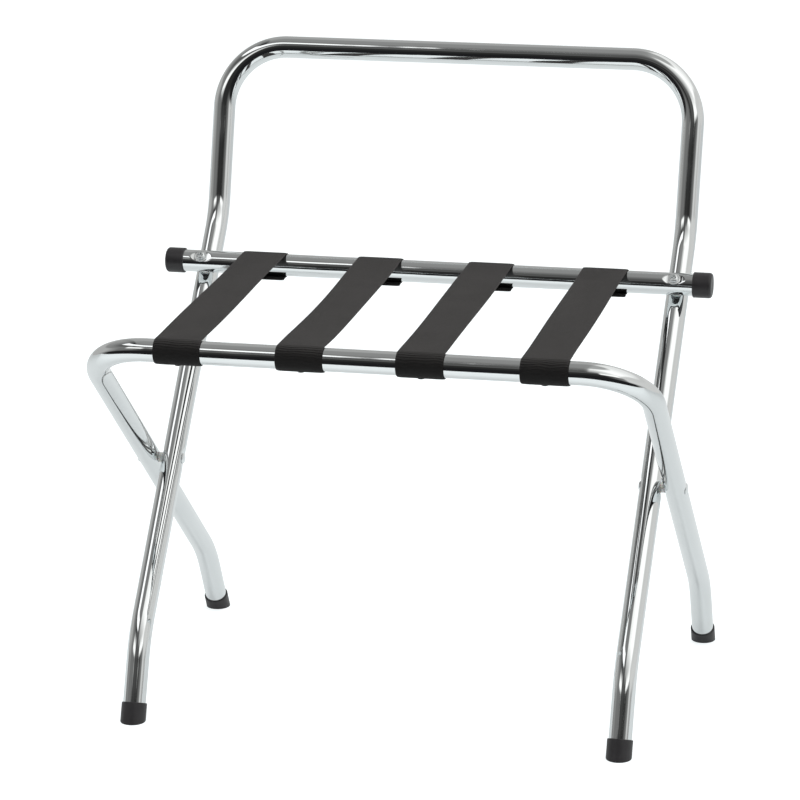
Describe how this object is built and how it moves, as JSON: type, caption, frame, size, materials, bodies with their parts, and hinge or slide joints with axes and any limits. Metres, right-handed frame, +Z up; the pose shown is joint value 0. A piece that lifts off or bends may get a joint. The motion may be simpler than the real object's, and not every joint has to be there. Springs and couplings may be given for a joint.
{
  "type": "folding luggage rack",
  "caption": "Folding luggage rack: two crossed chrome tube hoops on pivots, dark webbing straps across the top and a raised back rail.",
  "frame": {"origin": "centre of the rack's footprint on the floor, standing open", "axes": "+X to the rack's right seen from the front, +Y to the back where the raised rail is, +Z up"},
  "size_m": [0.6406, 0.5219, 0.7069],
  "materials": {
    "chrome_tube": "polished",
    "black_cap": "satin",
    "webbing": "woven",
    "black_tack": "satin",
    "pale_spacer": "satin",
    "plated_fastener": "plated"
  },
  "bodies": {
    "back_frame": {"back_hoop": "chrome_tube", "cross_tube": "chrome_tube", "cross_tube_cap_left": "black_cap", "cross_tube_screw_left": "plated_fastener", "cross_tube_washer_left": "plated_fastener", "cross_tube_spacer_left": "pale_spacer", "cross_tube_nut_left": "plated_fastener", "pivot_rivet_left": "plated_fastener", "pivot_spacer_left": "pale_spacer", "front_foot_left": "black_cap", "cross_tube_cap_right": "black_cap", "cross_tube_screw_right": "plated_fastener", "cross_tube_washer_right": "plated_fastener", "cross_tube_spacer_right": "pale_spacer", "cross_tube_nut_right": "plated_fastener", "pivot_rivet_right": "plated_fastener", "pivot_spacer_right": "pale_spacer", "front_foot_right": "black_cap", "strap_1": "webbing", "strap_2": "webbing", "strap_3": "webbing", "strap_4": "webbing", "strap_tack_rear_1": "black_tack", "strap_tack_rear_2": "black_tack", "strap_tack_rear_3": "black_tack", "strap_tack_rear_4": "black_tack"},
    "seat_frame": {"seat_hoop": "chrome_tube", "rear_foot_left": "black_cap", "rear_foot_right": "black_cap", "strap_tack_front_1": "black_tack", "strap_tack_front_2": "black_tack", "strap_tack_front_3": "black_tack", "strap_tack_front_4": "black_tack"}
  },
  "joints": [
    {"name": "fold", "type": "hinge", "parent": "back_frame", "child": "seat_frame", "pos_m": [0, -0.01954, 0.25768], "axis": [-1, 0, 0], "range_deg": [0, 77], "deforming": ["strap_1", "strap_2", "strap_3", "strap_4"]}
  ]
}
